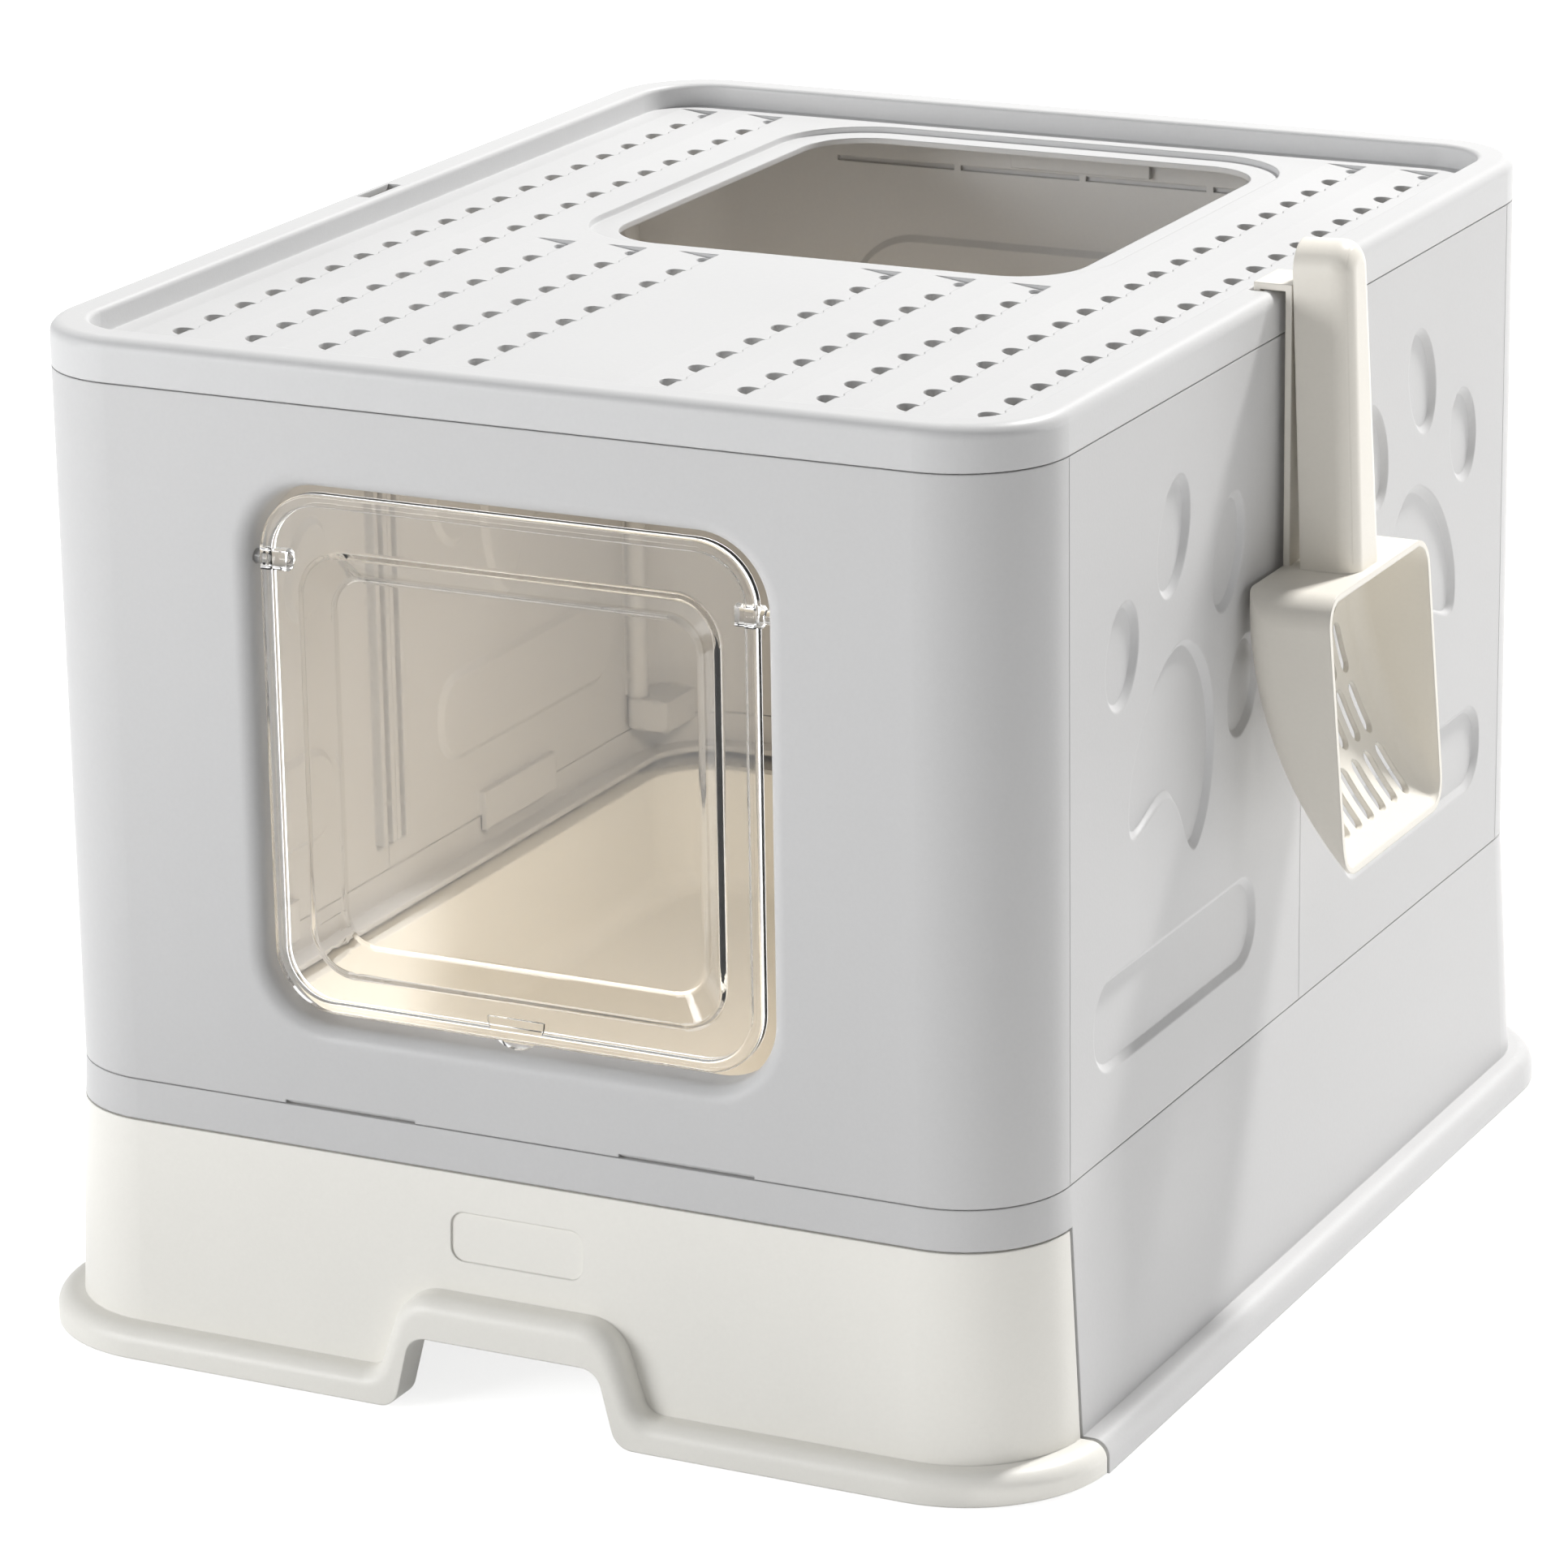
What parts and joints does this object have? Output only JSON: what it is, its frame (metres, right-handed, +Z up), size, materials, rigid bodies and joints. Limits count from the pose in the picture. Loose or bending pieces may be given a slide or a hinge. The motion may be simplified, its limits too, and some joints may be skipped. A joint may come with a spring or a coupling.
{
  "type": "top-entry litter box",
  "caption": "Foldable cat litter box with a slide-out drawer base, folding walls with a clear front flap, a vented lid with a top-entry hole and a scoop hooked on its rim.",
  "frame": {"origin": "on the floor under the centre of the wall ring", "axes": "+Z up, -Y out of the front with the flap and drawer, +X out of the side where the scoop hangs"},
  "size_m": [0.4406, 0.519, 0.3911],
  "materials": {
    "shell_grey": "fine satin moulding",
    "lid_grey": "fine satin moulding",
    "drawer_cream": "satin moulding",
    "scoop_cream": "satin moulding",
    "flap_clear": "clear moulding",
    "bracket_grey": "satin moulding",
    "pin_steel": "drawn wire"
  },
  "bodies": {
    "base": {"base_frame": "shell_grey"},
    "drawer": {"litter_drawer": "drawer_cream"},
    "rear_wall": {"rear_panel": "shell_grey", "rear_left_lower_bracket": "bracket_grey", "rear_left_upper_bracket": "bracket_grey", "rear_right_lower_bracket": "bracket_grey", "rear_right_upper_bracket": "bracket_grey", "rear_left_hinge_pins": "pin_steel", "rear_right_hinge_pins": "pin_steel"},
    "left_rear": {"left_rear_leaf": "shell_grey"},
    "left_front": {"left_front_leaf": "shell_grey"},
    "right_rear": {"right_rear_leaf": "shell_grey"},
    "right_front": {"right_front_leaf": "shell_grey"},
    "front_wall": {"front_panel": "shell_grey", "front_left_lower_bracket": "bracket_grey", "front_left_upper_bracket": "bracket_grey", "front_right_lower_bracket": "bracket_grey", "front_right_upper_bracket": "bracket_grey", "front_left_hinge_pins": "pin_steel", "front_right_hinge_pins": "pin_steel"},
    "flap": {"door_flap": "flap_clear"},
    "lid": {"top_lid": "lid_grey"},
    "scoop": {"litter_scoop": "scoop_cream"}
  },
  "joints": [
    {"name": "drawer_slide", "type": "slide", "parent": "base", "child": "drawer", "axis": [0, -1, 0], "range_m": [0, 0.4]},
    {"name": "wall_lift", "type": "slide", "parent": "base", "child": "rear_wall", "axis": [0, 0, 1], "range_m": [0, 0.12]},
    {"name": "left_rear_fold", "type": "hinge", "parent": "rear_wall", "child": "left_rear", "pos_m": [-0.184, 0.2017, 0.23], "axis": [0, 0, 1], "range_deg": [0, 64]},
    {"name": "left_middle_fold", "type": "hinge", "parent": "left_rear", "child": "left_front", "pos_m": [-0.192, 0, 0.23], "axis": [0, 0, 1], "range_deg": [-128, 0]},
    {"name": "left_front_fold", "type": "hinge", "parent": "left_front", "child": "front_wall", "pos_m": [-0.184, -0.2017, 0.23], "axis": [0, 0, 1], "range_deg": [0, 64]},
    {"name": "right_rear_fold", "type": "hinge", "parent": "rear_wall", "child": "right_rear", "pos_m": [0.184, 0.2017, 0.23], "axis": [0, 0, 1], "range_deg": [-64, 0]},
    {"name": "right_middle_fold", "type": "hinge", "parent": "right_rear", "child": "right_front", "pos_m": [0.192, 0, 0.23], "axis": [0, 0, 1], "range_deg": [0, 128]},
    {"name": "flap_swing", "type": "hinge", "parent": "front_wall", "child": "flap", "pos_m": [0, -0.2378, 0.3], "axis": [-1, 0, 0], "range_deg": [-25, 80]},
    {"name": "lid_lift", "type": "slide", "parent": "rear_wall", "child": "lid", "axis": [0, 0, 1], "range_m": [0, 0.15]},
    {"name": "scoop_lift", "type": "slide", "parent": "lid", "child": "scoop", "axis": [0, 0, 1], "range_m": [0, 0.12]}
  ],
  "couplings": [
    {"joint": "left_middle_fold", "follows": "left_rear_fold", "ratio": -2},
    {"joint": "left_front_fold", "follows": "left_rear_fold", "ratio": 1},
    {"joint": "right_rear_fold", "follows": "left_rear_fold", "ratio": -1},
    {"joint": "right_middle_fold", "follows": "left_rear_fold", "ratio": 2}
  ]
}
